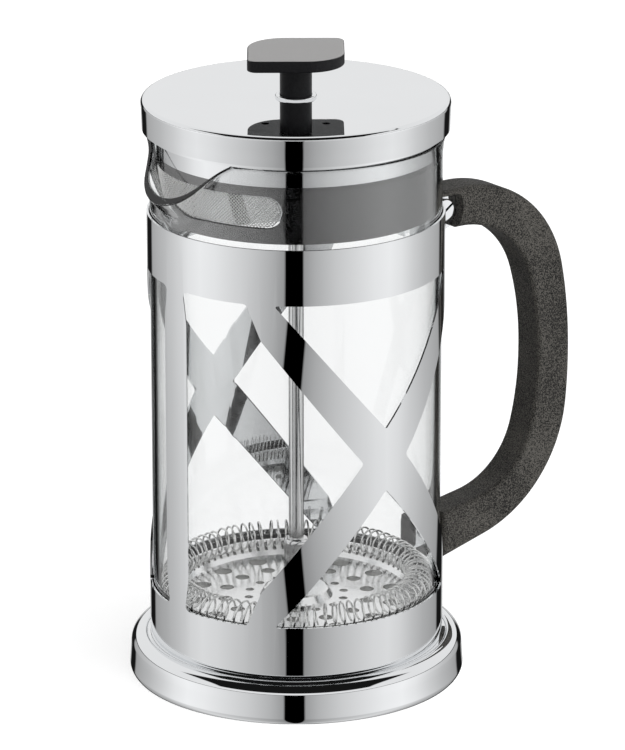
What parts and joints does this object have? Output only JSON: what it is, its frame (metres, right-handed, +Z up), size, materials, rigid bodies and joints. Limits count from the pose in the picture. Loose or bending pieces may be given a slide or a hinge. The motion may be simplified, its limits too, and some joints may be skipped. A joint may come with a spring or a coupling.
{
  "type": "french press",
  "caption": "Glass coffee press in a cut-out chrome cage, with a side handle, a spout, a lift-off lid and a plunger.",
  "frame": {"origin": "on the axis of the pot, in the flat underside it stands on", "axes": "+Z up along the plunger rod, +X towards the handle, -X towards the spout"},
  "size_m": [0.1684, 0.112, 0.2135],
  "materials": {
    "cage_chrome": "polished",
    "base_chrome": "polished",
    "lid_chrome": "polished",
    "foot_plastic": "fine grain",
    "cushion_rubber": "soft matt",
    "handle_plastic": "fine spark grain",
    "knob_plastic": "fine spark grain",
    "bolt_steel": "polished",
    "bracket_steel": "polished",
    "beaker_glass": "clear polished",
    "collar_plastic": "semi-gloss",
    "trim_chrome": "polished",
    "strainer_steel": "woven wire",
    "bush_chrome": "polished",
    "nut_plastic": "matt",
    "rod_steel": "polished",
    "insert_brass": "machined",
    "sleeve_steel": "polished",
    "plate_steel": "polished",
    "coil_steel": "drawn wire",
    "mesh_steel": "fine woven wire",
    "cross_steel": "stamped"
  },
  "bodies": {
    "frame": {"cage": "cage_chrome", "base_ring": "base_chrome", "foot_pad": "foot_plastic", "glass_cushion": "cushion_rubber", "handle": "handle_plastic", "clamp_bolt": "bolt_steel", "clamp_nut": "bolt_steel", "lower_bracket": "bracket_steel", "bracket_screw": "bolt_steel"},
    "beaker": {"glass_beaker": "beaker_glass"},
    "lid": {"lid_cover": "lid_chrome", "rod_bush": "bush_chrome", "bush_nut": "nut_plastic"},
    "strainer": {"lid_collar": "collar_plastic", "lid_strainer": "strainer_steel", "collar_trim": "trim_chrome"},
    "plunger": {"plunger_rod": "rod_steel", "knob": "knob_plastic", "knob_insert": "insert_brass", "rod_sleeve": "sleeve_steel", "spiral_plate": "plate_steel", "spiral_coil": "coil_steel", "mesh_filter": "mesh_steel", "cross_plate": "cross_steel"}
  },
  "joints": [
    {"name": "beaker_lift", "type": "slide", "parent": "frame", "child": "beaker", "axis": [0, 0, 1], "range_m": [0, 0.16]},
    {"name": "lid_lift", "type": "slide", "parent": "beaker", "child": "lid", "axis": [0, 0, 1], "range_m": [0, 0.18]},
    {"name": "strainer_turn", "type": "hinge", "parent": "lid", "child": "strainer", "pos_m": [0, 0, 0.19], "axis": [0, 0, 1], "continuous": true},
    {"name": "plunger_press", "type": "slide", "parent": "lid", "child": "plunger", "axis": [0, 0, 1], "range_m": [0, 0.123]}
  ]
}
